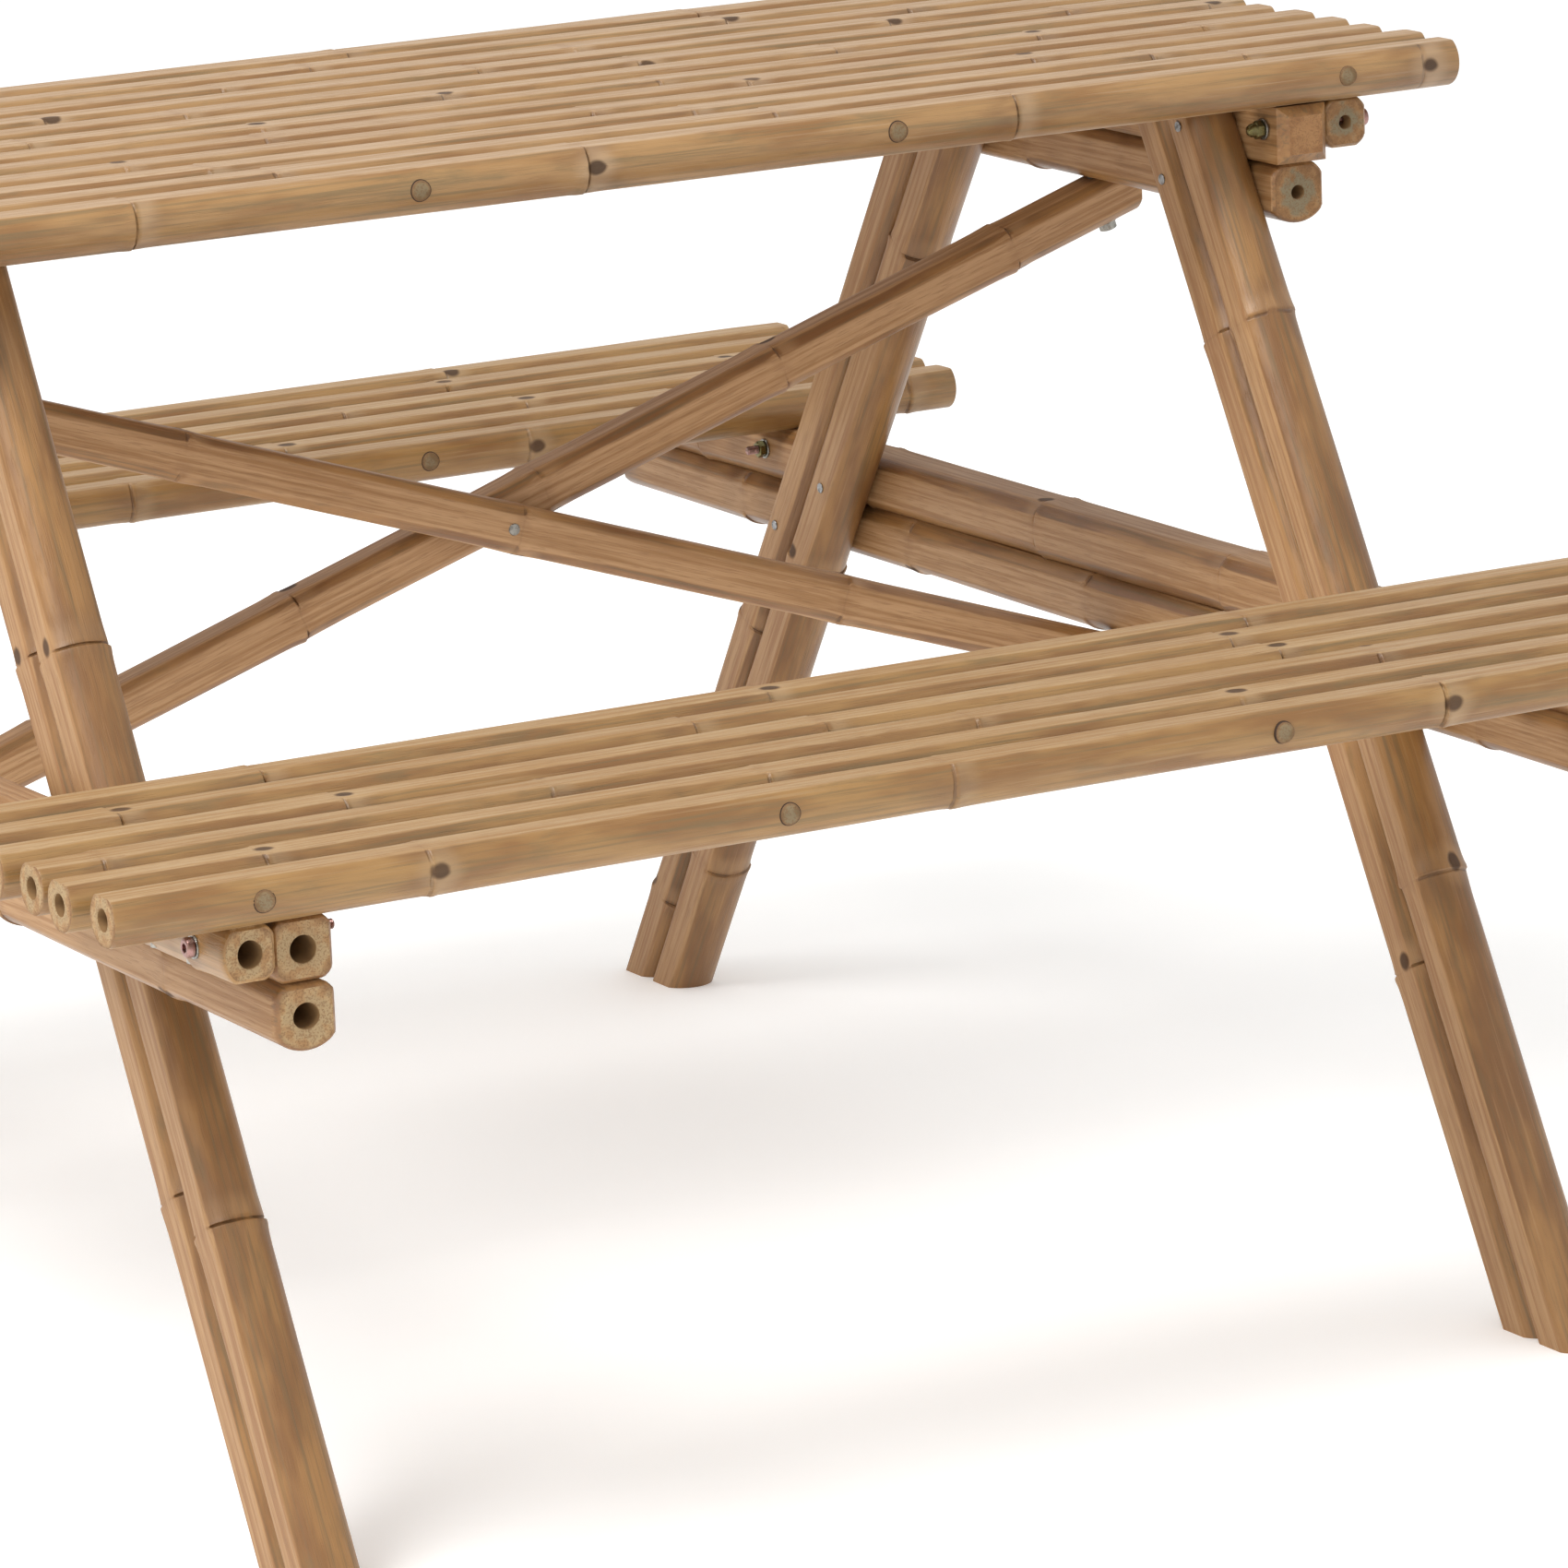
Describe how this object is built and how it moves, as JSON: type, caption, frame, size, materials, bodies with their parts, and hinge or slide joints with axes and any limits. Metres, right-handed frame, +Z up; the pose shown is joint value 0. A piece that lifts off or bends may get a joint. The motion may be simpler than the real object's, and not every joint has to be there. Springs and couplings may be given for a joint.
{
  "type": "picnic table with attached benches",
  "caption": "Bamboo pole picnic table with a slatted top, two attached slatted benches, splayed twin-pole legs on stacked bearers and crossed diagonal braces.",
  "frame": {"origin": "on the floor, in the middle of the table's footprint box", "axes": "+Z up, X along the slats, +Y from the front bench towards the rear bench"},
  "size_m": [1.1639, 1.334, 0.75],
  "materials": {
    "top_cane": "planed bamboo, matt, pale flats with browner rounded sides",
    "bench_cane": "planed bamboo, matt, pale flats with browner rounded sides",
    "dowel_cane": "thin bamboo cane, matt, browner end grain",
    "batten_cane": "squared bamboo, matt, yellow-brown",
    "leg_cane": "squared bamboo, matt, ochre brown with long streaks",
    "bearer_cane": "squared bamboo, matt, ochre brown",
    "brace_cane": "squared bamboo, matt, reddish brown",
    "yellow_zinc": "yellow-passivated steel, half bright",
    "bright_zinc": "bright zinc-plated steel",
    "nail_steel": "plain round-wire nail, dull",
    "screw_steel": "zinc-plated wood screw, dull"
  },
  "bodies": {
    "root": {"top_slat_01": "top_cane", "top_slat_02": "top_cane", "top_slat_03": "top_cane", "top_slat_04": "top_cane", "top_slat_05": "top_cane", "top_slat_06": "top_cane", "top_slat_07": "top_cane", "top_slat_08": "top_cane", "top_slat_09": "top_cane", "top_slat_10": "top_cane", "top_slat_11": "top_cane", "top_slat_12": "top_cane", "front_slat_1": "bench_cane", "front_slat_2": "bench_cane", "front_slat_3": "bench_cane", "front_slat_4": "bench_cane", "front_slat_5": "bench_cane", "front_slat_6": "bench_cane", "rear_slat_1": "bench_cane", "rear_slat_2": "bench_cane", "rear_slat_3": "bench_cane", "rear_slat_4": "bench_cane", "rear_slat_5": "bench_cane", "rear_slat_6": "bench_cane", "top_dowels": "dowel_cane", "front_dowels": "dowel_cane", "rear_dowels": "dowel_cane", "top_batten_left": "batten_cane", "top_batten_right": "batten_cane", "front_batten_left": "batten_cane", "front_batten_right": "batten_cane", "rear_batten_left": "batten_cane", "rear_batten_right": "batten_cane", "left_leg_front_outer": "leg_cane", "left_leg_front_inner": "leg_cane", "left_leg_rear_outer": "leg_cane", "left_leg_rear_inner": "leg_cane", "right_leg_front_outer": "leg_cane", "right_leg_front_inner": "leg_cane", "right_leg_rear_outer": "leg_cane", "right_leg_rear_inner": "leg_cane", "left_top_bearer_upper": "bearer_cane", "left_top_bearer_lower": "bearer_cane", "right_top_bearer_upper": "bearer_cane", "right_top_bearer_lower": "bearer_cane", "left_seat_bearer_upper": "bearer_cane", "left_seat_bearer_lower": "bearer_cane", "right_seat_bearer_upper": "bearer_cane", "right_seat_bearer_lower": "bearer_cane", "brace_front": "brace_cane", "brace_rear": "brace_cane", "batten_bolts": "yellow_zinc", "batten_nuts": "yellow_zinc", "batten_washers": "bright_zinc", "brace_screws": "bright_zinc", "brace_washers": "bright_zinc", "crossing_pin": "bright_zinc", "nails": "nail_steel", "top_batten_screws": "screw_steel", "seat_batten_screws": "screw_steel"}
  },
  "joints": []
}
